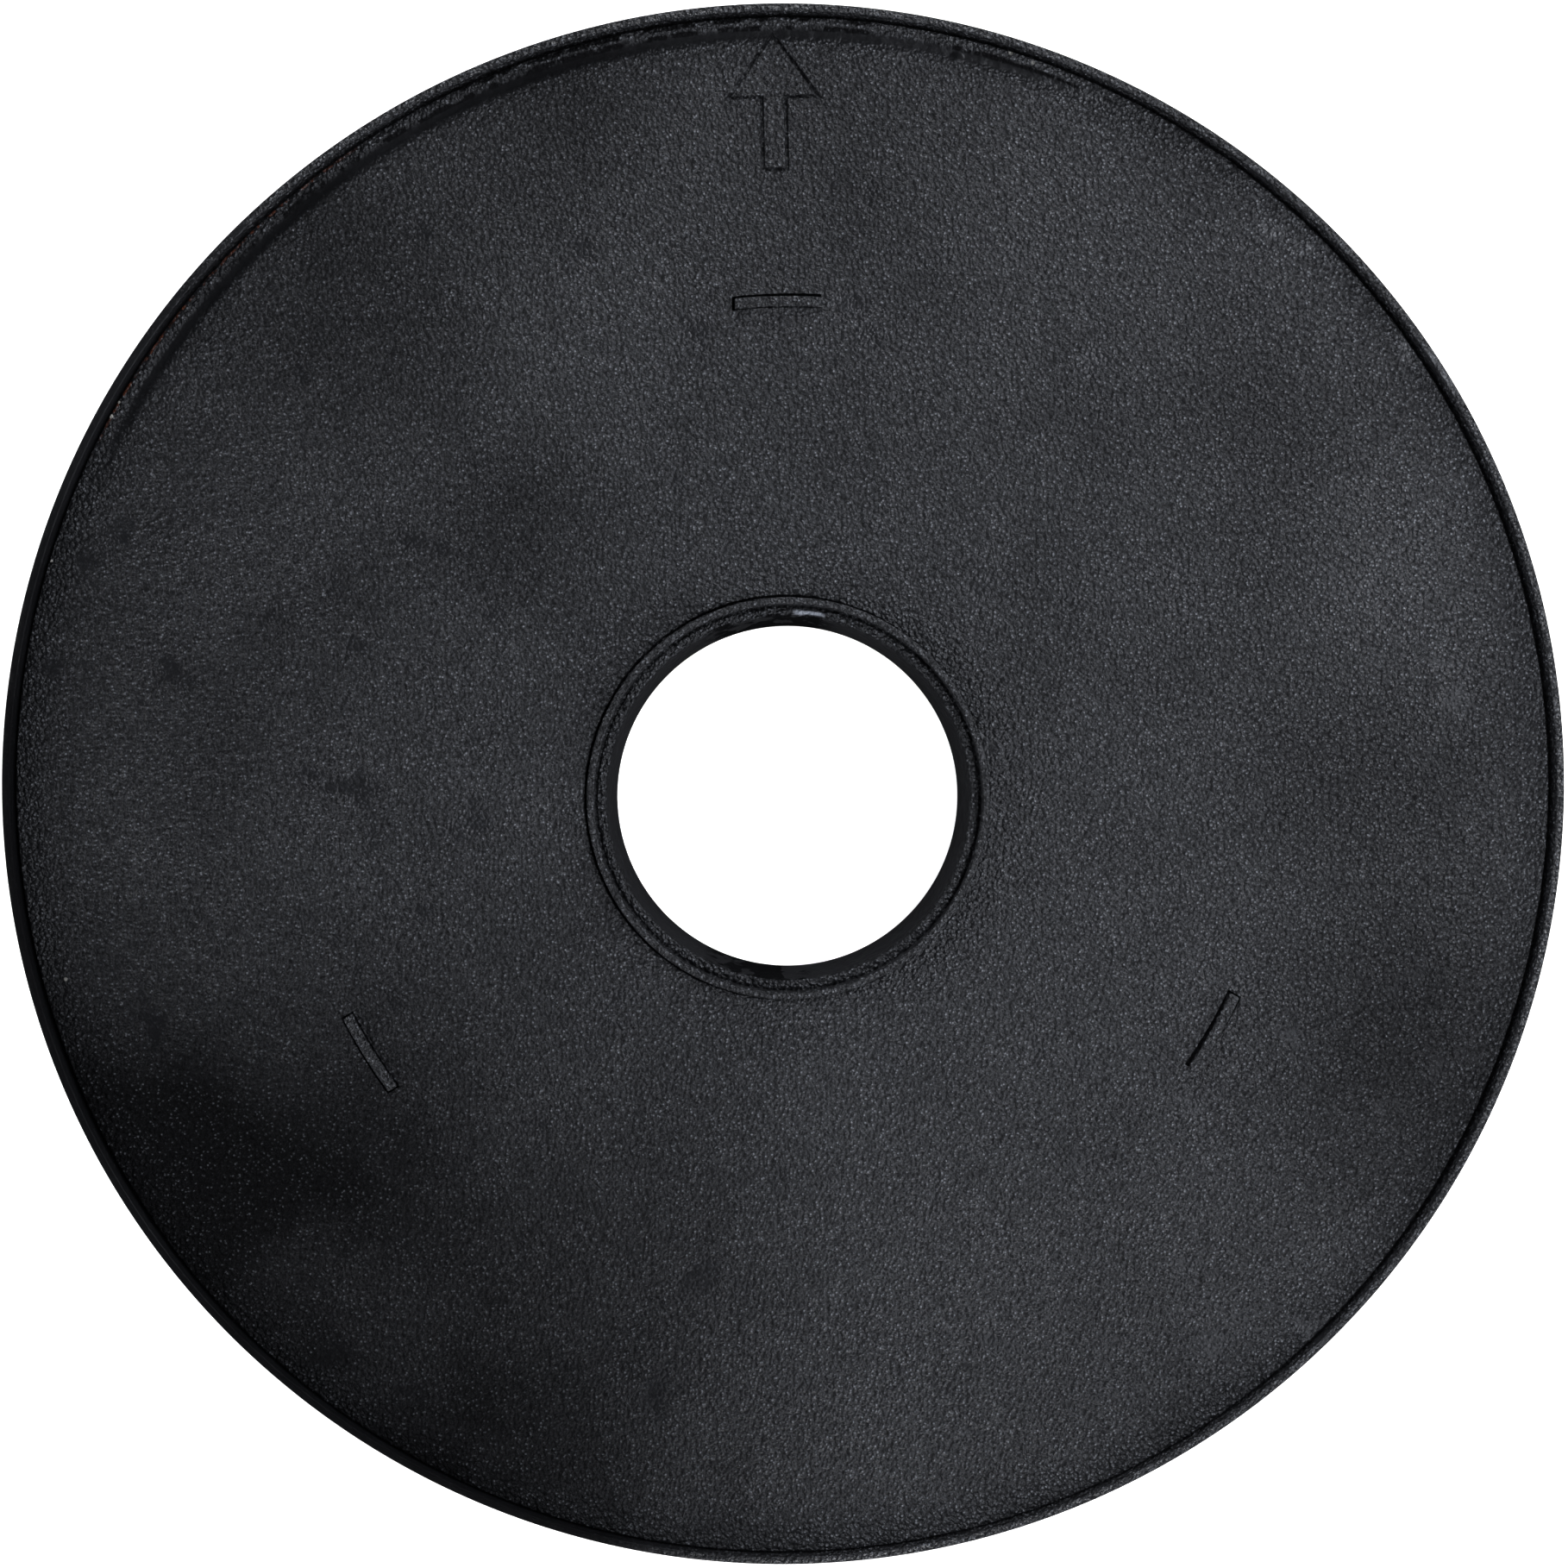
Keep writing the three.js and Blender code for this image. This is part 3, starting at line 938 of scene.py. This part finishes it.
@dataclass
class Rim:
    """The rolled hoop and the flat ledge ring welded inside it."""

    levels: Levels
    wall: float = 1.6 * MM
    crown_drop: float = 0.28 * MM
    crown_inset: float = 0.85 * MM
    steps: int = 512
    stud_angles: Sequence[float] = tuple(evenly(6, math.pi / 6))

    def build(self) -> None:
        """Makes the hoop and the ledge."""
        levels = self.levels
        inner = levels.rim_radius - self.wall
        coat = GrainedCoat(
            # Painted shade on the hoop's left and lower left, away from the light.
            stains_and_shade=(
                StainAndShadePatch(-150 * MM, -20 * MM, 130 * MM, 0.5),
                StainAndShadePatch(-70 * MM, -135 * MM, 90 * MM, 0.6),
            ),
            # Smooth and dulled on the hoop's left; the darkening there is painted shade, that side facing
            # away from the light.
            flowed=(Band(inner - 0.3 * MM, levels.rim_radius + 1 * MM, 0.2 * MM, 200, 50, 75),),
        ).material("rim_coat")
        hoop = turned([
            Corner(inner, levels.rim_bottom, 0.25 * MM),
            Corner(levels.rim_radius, levels.rim_bottom, 0.4 * MM),
            Corner(levels.rim_radius, levels.rim_top - self.crown_drop, 0.2 * MM),
            Corner(levels.rim_radius - self.crown_inset, levels.rim_top, 0.5 * MM),
            Corner(inner, levels.rim_top, 0.3 * MM),
        ], self.steps)
        install("rolled_hoop", mesh_of(hoop, "rolled_hoop"), coat, ["rim_hoop"])
        ledge = turned([
            Corner(levels.ledge_inner, levels.ledge_bottom, 0.2 * MM),
            Corner(levels.ledge_outer, levels.ledge_bottom),
            Corner(levels.ledge_outer, levels.underside),
            Corner(levels.ledge_inner, levels.underside, 0.2 * MM),
        ], 240)
        holes = [("DIFFERENCE", stud_hole(STUD_CIRCLE_RIM, levels, angle)) for angle in self.stud_angles]
        mesh = carved(mesh_of(ledge, "ledge_ring"), *holes)
        install("ledge_ring", mesh, coat, ["rim_ledge"])


def stud_hole(circle: float, levels: Levels, angle: float) -> bmesh.types.BMesh:
    """The cutter of a stud's clearance hole through a ledge or flange."""
    bm = drum(STUD_HOLE_RADIUS, levels.ledge_bottom - 1 * MM, levels.underside + 1 * MM, 32, circle)
    bmesh.ops.rotate(bm, verts=bm.verts, cent=(0, 0, 0), matrix=Matrix.Rotation(angle, 3, "Z"))
    return bm


# ------------------------------------------------------------------------------ centre


@dataclass
class CentreBush:
    """The turned bush: rounded lip, lower shelf, smooth tapered bore and a flange under the plate."""

    levels: Levels
    outer: float = 38.7 * MM
    lip: float = 1.4 * MM
    shelf_depth: float = 1.9 * MM
    shelf_width: float = 2.1 * MM
    groove_width: float = 0.50 * MM
    groove_depth: float = 0.50 * MM
    bore: float = 33.8 * MM
    steps: int = 288
    stud_angles: Sequence[float] = tuple(evenly(3, math.pi / 3))

    def build(self) -> None:
        """Makes the bush and dresses it."""
        levels = self.levels
        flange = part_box("centre_bush")[1].x
        shelf = levels.rim_top - self.shelf_depth
        shelf_inner = self.outer - self.lip - self.shelf_width
        bush = turned([
            Corner(self.bore, levels.rim_bottom, 0.3 * MM),
            Corner(self.outer, levels.rim_bottom, 0.3 * MM),
            Corner(self.outer, levels.ledge_bottom, 0.0),
            Corner(flange, levels.ledge_bottom, 0.3 * MM),
            Corner(flange, levels.underside, 0.3 * MM),
            Corner(self.outer, levels.underside),
            Corner(self.outer, levels.rim_top, 0.45 * MM),
            Corner(self.outer - self.lip, levels.rim_top, 0.35 * MM),
            Corner(self.outer - self.lip, shelf - self.groove_depth, 0.1 * MM),
            Corner(self.outer - self.lip - self.groove_width, shelf - self.groove_depth, 0.1 * MM),
            Corner(self.outer - self.lip - self.groove_width, shelf, 0.15 * MM),
            Corner(shelf_inner, shelf, 0.45 * MM),
        ], self.steps)
        holes = [("DIFFERENCE", stud_hole(STUD_CIRCLE_BUSH, levels, angle)) for angle in self.stud_angles]
        mesh = carved(mesh_of(bush, "turned_bush"), *holes)
        wall = Band(self.bore - 1 * MM, shelf_inner, 0.1 * MM, 0, 0, 1)
        coat = GrainedCoat(
            smooth_inside=shelf_inner - 0.1 * MM,
            # Painted highlight: a pale streak on the shelf near noon, where a glossy spot would catch the
            # light.
            tints=(Tint(Band(35.5 * MM, 36.3 * MM, 0.2 * MM, 82.5, 2.5, 5.5), PAINTED_HIGHLIGHT, share=0.8),),
            # Darker patches on the bore wall at its top and bottom.
            dark_bands=(
                replace(wall, outer=shelf_inner + 0.5 * MM, towards=95, full_reach=12, end_reach=25),
                replace(wall, towards=-101, full_reach=12, end_reach=20),
            ),
        )
        install("turned_bush", mesh, coat.material("bush_coat"), ["centre_bush"])


# ------------------------------------------------------------------------------ lugs and feet


@dataclass
class Lugs:
    """The three tenoned lugs, bent into feet, with their rubber pads, screws and weld nuts."""

    levels: Levels
    thickness: float = LUG_THICKNESS
    bend: float = 0.6 * MM
    angles: Sequence[float] = tuple(evenly(3))

    def build(self) -> None:
        """Makes one set at noon and copies it round."""
        coat = GrainedCoat().material("lug_coat")
        zinc = ZincPlate().material("foot_zinc")
        rubber = MouldedRubber().material("foot_skin")
        install_round("bent_lug", self._lug(), coat, "tenon_lug", self.angles)
        install_round("rubber_foot", self._foot(), rubber, "foot_pad", self.angles)
        install_round("socket_screw", self._screw(), zinc, "foot_screw", self.angles)
        install_round("weld_nut", self._nut(), zinc, "foot_nut", self.angles)

    def _lug(self) -> bpy.types.Mesh:
        """The bent strip with its tenon and screw hole, at noon."""
        low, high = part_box("tenon_lug_1")
        pad_low, pad_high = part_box("foot_pad_1")
        top, foot_top = self.levels.underside, low.z + self.thickness
        outer = low.y + self.thickness
        bm = bmesh.new()
        side = [
            (low.y, top, 0.0), (low.y, low.z, self.bend + self.thickness), (high.y, low.z, 0.8 * MM),
            (high.y, foot_top, 0.8 * MM), (outer, foot_top, self.bend), (outer, top, 0.0),
        ]
        verts = [bm.verts.new((low.x, y, z)) for y, z, _ in side]
        bm.faces.new(verts)
        for vert, (_, _, rounding) in zip(verts, side):
            if rounding > 0:
                bmesh.ops.bevel(
                    bm, geom=[vert], offset=rounding, offset_type="OFFSET", affect="VERTICES",
                    segments=5, profile=0.5, material=-1,
                )
        swept = bmesh.ops.extrude_face_region(bm, geom=list(bm.faces))["geom"]
        moved = [item for item in swept if isinstance(item, bmesh.types.BMVert)]
        bmesh.ops.translate(bm, verts=moved, vec=(high.x - low.x, 0, 0))
        bmesh.ops.recalc_face_normals(bm, faces=bm.faces)
        soften(bm, 0.2 * MM, math.radians(60))
        tenon = bowed_bar(
            Vector((-TENON_LENGTH / 2, low.y, top - 1 * MM)),
            Vector((TENON_LENGTH / 2, outer, high.z)),
            TENON_BOW, 0.22 * MM,
        )
        hole = drum(2.3 * MM, low.z - 1 * MM, foot_top + 1 * MM, 32, (pad_low.y + pad_high.y) / 2)
        return carved(mesh_of(bm, "bent_lug"), ("UNION", tenon), ("DIFFERENCE", hole))

    def _foot(self) -> bpy.types.Mesh:
        """The rubber foot, recessed for its screw and grooved underneath."""
        low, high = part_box("foot_pad_1")
        radius, height = (high.x - low.x) / 2, high.z
        bm = turned([
            Corner(4.6 * MM, 0.0, 0.3 * MM),
            Corner(6.2 * MM, 0.0, 0.15 * MM),
            Corner(6.2 * MM, 0.5 * MM, 0.15 * MM),
            Corner(7.0 * MM, 0.5 * MM, 0.15 * MM),
            Corner(7.0 * MM, 0.0, 0.15 * MM),
            Corner(radius - 0.2 * MM, 0.0, 0.7 * MM),
            Corner(radius, height, 0.7 * MM),
            Corner(2.3 * MM, height),
            Corner(2.3 * MM, 3.6 * MM),
            Corner(4.6 * MM, 3.6 * MM, 0.3 * MM),
        ], 64)
        bmesh.ops.translate(bm, verts=bm.verts, vec=(0, (low.y + high.y) / 2, 0))
        return mesh_of(bm, "rubber_foot")

    def _screw(self) -> bpy.types.Mesh:
        """The button-head screw, with rolled thread and hex socket."""
        low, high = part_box("foot_screw_1")
        head, seat = (high.x - low.x) / 2, low.z + 2.2 * MM
        section = [
            Corner(0.0, low.z),
            Corner(head, low.z, 1.1 * MM),
            Corner(head, seat, 0.15 * MM),
            *thread(2.0 * MM, seat, high.z),
            Corner(0.0, high.z),
        ]
        bm = turned(section, 36, on_axis=True)
        y = (low.y + high.y) / 2
        bmesh.ops.translate(bm, verts=bm.verts, vec=(0, y, 0))
        socket = drum(1.45 * MM, low.z - 1 * MM, low.z + 1.3 * MM, 6, y)
        return carved(mesh_of(bm, "socket_screw"), ("DIFFERENCE", socket))

    def _nut(self) -> bpy.types.Mesh:
        """The hexagonal weld nut."""
        low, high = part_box("foot_nut_1")
        return hex_nut(low, high, flange=0.0)


def thread(radius: float, bottom: float, top: float, pitch: float = 0.7 * MM) -> list[Corner]:
    """The zigzag of a rolled thread, from its bottom to its top."""
    turns = int((top - bottom) / pitch) - 1
    start = bottom + (top - bottom - turns * pitch) / 2
    zigzag = [Corner(radius, bottom), Corner(radius, start)]
    for turn in range(turns):
        zigzag.append(Corner(radius - 0.3 * MM, start + (turn + 0.5) * pitch, 0.05 * MM))
        zigzag.append(Corner(radius, start + (turn + 1) * pitch, 0.05 * MM))
    return [*zigzag, Corner(radius - 0.3 * MM, top)]


def hex_nut(low: Vector, high: Vector, flange: float) -> bpy.types.Mesh:
    """A nut made at noon, with chamfered corners and a turned-in thread mouth.

    Args:
        low: the lowest corner of its node.
        high: the highest corner of its node.
        flange: the height of its flange, at the top, or 0.

    Returns:
        The nut's mesh.
    """
    y = (low.y + high.y) / 2
    flats = 7 * MM
    corner = flats / math.sqrt(3)
    body = drum(corner, low.z, high.z, 6, y)
    limit = turned([
        Corner(0.0, low.z), Corner(flats / 2, low.z), Corner(corner, low.z + 0.45 * MM),
        Corner(corner, high.z - 0.2 * MM), Corner(corner, high.z), Corner(0.0, high.z),
    ], 48, on_axis=True)
    bmesh.ops.translate(limit, verts=limit.verts, vec=(0, y, 0))
    changes = [("INTERSECT", limit)]
    if flange > 0:
        radius = (high.x - low.x) / 2
        rim = turned([
            Corner(0.0, high.z - 1.6 * flange),
            Corner(0.8 * radius, high.z - 1.6 * flange, 0.3 * MM),
            Corner(radius, high.z - 0.6 * flange, 0.25 * MM),
            Corner(radius, high.z, 0.1 * MM),
            Corner(0.0, high.z),
        ], 48, on_axis=True)
        bmesh.ops.translate(rim, verts=rim.verts, vec=(0, y, 0))
        changes.append(("UNION", rim))
    bore = turned([
        Corner(0.0, low.z - 1 * MM), Corner(2.6 * MM, low.z - 1 * MM), Corner(2.6 * MM, low.z),
        Corner(2.1 * MM, low.z + 0.5 * MM), Corner(2.1 * MM, high.z + 1 * MM), Corner(0.0, high.z + 1 * MM),
    ], 32, on_axis=True)
    bmesh.ops.translate(bore, verts=bore.verts, vec=(0, y, 0))
    changes.append(("DIFFERENCE", bore))
    return carved(mesh_of(body, "nut"), *changes)


# ------------------------------------------------------------------------------ studs and nuts


@dataclass
class Fastenings:
    """The weld studs under the plate and their flange nuts, on one circle."""

    place: str
    angles: Sequence[float]

    def build(self) -> None:
        """Makes one stud and one nut and copies them round."""
        zinc = ZincPlate().material(f"{self.place}_zinc")
        place, angles = self.place, self.angles
        install_round(f"{place}_weld_stud", self._stud(), zinc, f"{place}_stud", angles)
        install_round(f"{place}_flange_nut", self._nut(), zinc, f"{place}_nut", angles)

    def _circle(self) -> float:
        """The radius of the circle that the studs stand on."""
        low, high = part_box(f"{self.place}_stud_1")
        centre = (low + high) / 2
        return math.hypot(centre.x, centre.y)

    def _stud(self) -> bpy.types.Mesh:
        """A threaded stud at noon, with its weld collar against the plate."""
        low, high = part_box(f"{self.place}_stud_1")
        bm = turned([
            Corner(0.0, low.z),
            Corner(1.6 * MM, low.z),
            *thread(2.0 * MM, low.z + 0.4 * MM, high.z - 0.8 * MM),
            Corner(2.0 * MM, high.z - 0.4 * MM),
            Corner(2.0 * MM, high.z),
            Corner(0.0, high.z),
        ], 32, on_axis=True)
        bmesh.ops.translate(bm, verts=bm.verts, vec=(0, self._circle(), 0))
        return mesh_of(bm, "weld_stud")

    def _nut(self) -> bpy.types.Mesh:
        """A flange nut at noon."""
        low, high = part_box(f"{self.place}_nut_1")
        circle, radius = self._circle(), 4.8 * MM
        return hex_nut(
            Vector((-radius, circle - radius, low.z)),
            Vector((radius, circle + radius, high.z)),
            flange=1 * MM,
        )


# ------------------------------------------------------------------------------ studio


@dataclass(frozen=True)
class Softbox:
    """A square soft light aimed at the dial from a compass direction."""

    name: str
    azimuth: float
    elevation: float
    power: float
    distance: float = 0.9
    size: float = 0.25

    def build(self) -> None:
        """Hangs the light."""
        light = bpy.data.lights.new(self.name, "AREA")
        light.shape = "SQUARE"
        light.size = self.size
        light.energy = self.power
        lamp = bpy.data.objects.new(self.name, light)
        bpy.context.scene.collection.objects.link(lamp)
        azimuth, elevation = math.radians(self.azimuth), math.radians(self.elevation)
        level = math.cos(elevation)
        away = Vector((math.cos(azimuth) * level, math.sin(azimuth) * level, math.sin(elevation)))
        lamp.location = away * self.distance
        lamp.rotation_euler = away.to_track_quat("Z", "Y").to_euler()


@dataclass
class Studio:
    """Floor, soft lights, pale surroundings and the camera over the dial."""

    levels: Levels
    lens: float = 35.92
    camera_offset: Vector = field(default_factory=lambda: Vector((-4.89, 15.09, 299.6)) * MM)
    aim_offset: Vector = field(default_factory=lambda: Vector((-0.83, 2.98, 0.0)) * MM)
    roll: float = math.radians(1.21)
    surround: float = 0.02

    def build(self) -> None:
        """Sets the studio up."""
        self._camera()
        self._floor()
        self._surroundings()
        for softbox in self._lights():
            softbox.build()

    def _lights(self) -> list[Softbox]:
        """The soft lights: four from above, four low ones for the hoop's outside."""
        quarters = (0, 90, 180, 270)
        return [
            Softbox("key_noon_side", azimuth=42, elevation=38, power=4.1),
            Softbox("high_right", azimuth=0, elevation=58, power=2.0),
            Softbox("low_evening", azimuth=315, elevation=42, power=1.3),
            Softbox("front", azimuth=275, elevation=35, power=1.0),
            *(Softbox(f"skirt_{azimuth}", azimuth, elevation=4, power=2.8) for azimuth in quarters),
        ]

    def _camera(self) -> None:
        """Looks down on the dial, a little from noon, close enough for a strong perspective."""
        data = bpy.data.cameras.new("view")
        data.lens = self.lens
        data.sensor_width = 36.0
        data.clip_start = 0.01
        camera = bpy.data.objects.new("view", data)
        bpy.context.scene.collection.objects.link(camera)
        middle = Vector((0, 0, self.levels.rim_top))
        camera.location = middle + self.camera_offset
        back = (self.camera_offset - self.aim_offset).normalized()
        up = (Vector((0, 1, 0)) - back * back.y).normalized()
        right = up.cross(back)
        turn = Matrix((right, up, back)).transposed() @ Matrix.Rotation(-self.roll, 3, "Z")
        camera.rotation_mode = "QUATERNION"
        camera.rotation_quaternion = turn.to_quaternion()
        bpy.context.scene.camera = camera

    def _floor(self) -> None:
        """The plain pale floor, swept up into a backdrop all round."""
        bm = bmesh.new()
        sweep = [(0.0, 0.0), (1.5, 0.0)]
        sweep += [(1.5 + 0.5 * math.sin(turn), 0.5 - 0.5 * math.cos(turn)) for turn in
                  (math.radians(angle) for angle in range(10, 100, 10))]
        sweep.append((2.0, 2.0))
        verts = [bm.verts.new((x, 0, z)) for x, z in sweep]
        edges = [bm.edges.new(pair) for pair in zip(verts, verts[1:])]
        bmesh.ops.spin(
            bm, geom=verts + edges, cent=(0, 0, 0), axis=(0, 0, 1), angle=FULL_TURN, steps=96, use_merge=True,
        )
        bmesh.ops.remove_doubles(bm, verts=bm.verts, dist=WELD_DISTANCE)
        bmesh.ops.recalc_face_normals(bm, faces=bm.faces)
        floor = bpy.data.objects.new("studio_floor", mesh_of(bm, "studio_floor"))
        bpy.context.scene.collection.objects.link(floor)
        floor.data.materials.append(PaleFloor().material("pale_floor"))
        floor.data.shade_smooth()
        floor.visible_glossy = False

    def _surroundings(self) -> None:
        """Even, pale light from all round."""
        scene = bpy.context.scene
        scene.world = bpy.data.worlds.new("pale_room")
        scene.world.use_nodes = True
        background = scene.world.node_tree.nodes["Background"]
        background.inputs["Color"].default_value = (1.0, 1.0, 1.0, 1.0)
        background.inputs["Strength"].default_value = self.surround
        scene.view_settings.view_transform = "Standard"


def main() -> None:
    """Builds the dial and its studio."""
    logging.basicConfig(level=logging.INFO, format="%(name)s: %(message)s")
    levels = Levels.read()
    rim = Rim(levels)
    bush = CentreBush(levels)
    assemblies = [
        Studio(levels),
        DialPlate(levels),
        rim,
        bush,
        Lugs(levels),
        Fastenings("rim", rim.stud_angles),
        Fastenings("bush", bush.stud_angles),
    ]
    for assembly in assemblies:
        assembly.build()
        LOG.info("%s is in place", type(assembly).__name__)


if __name__ == "__main__":
    main()
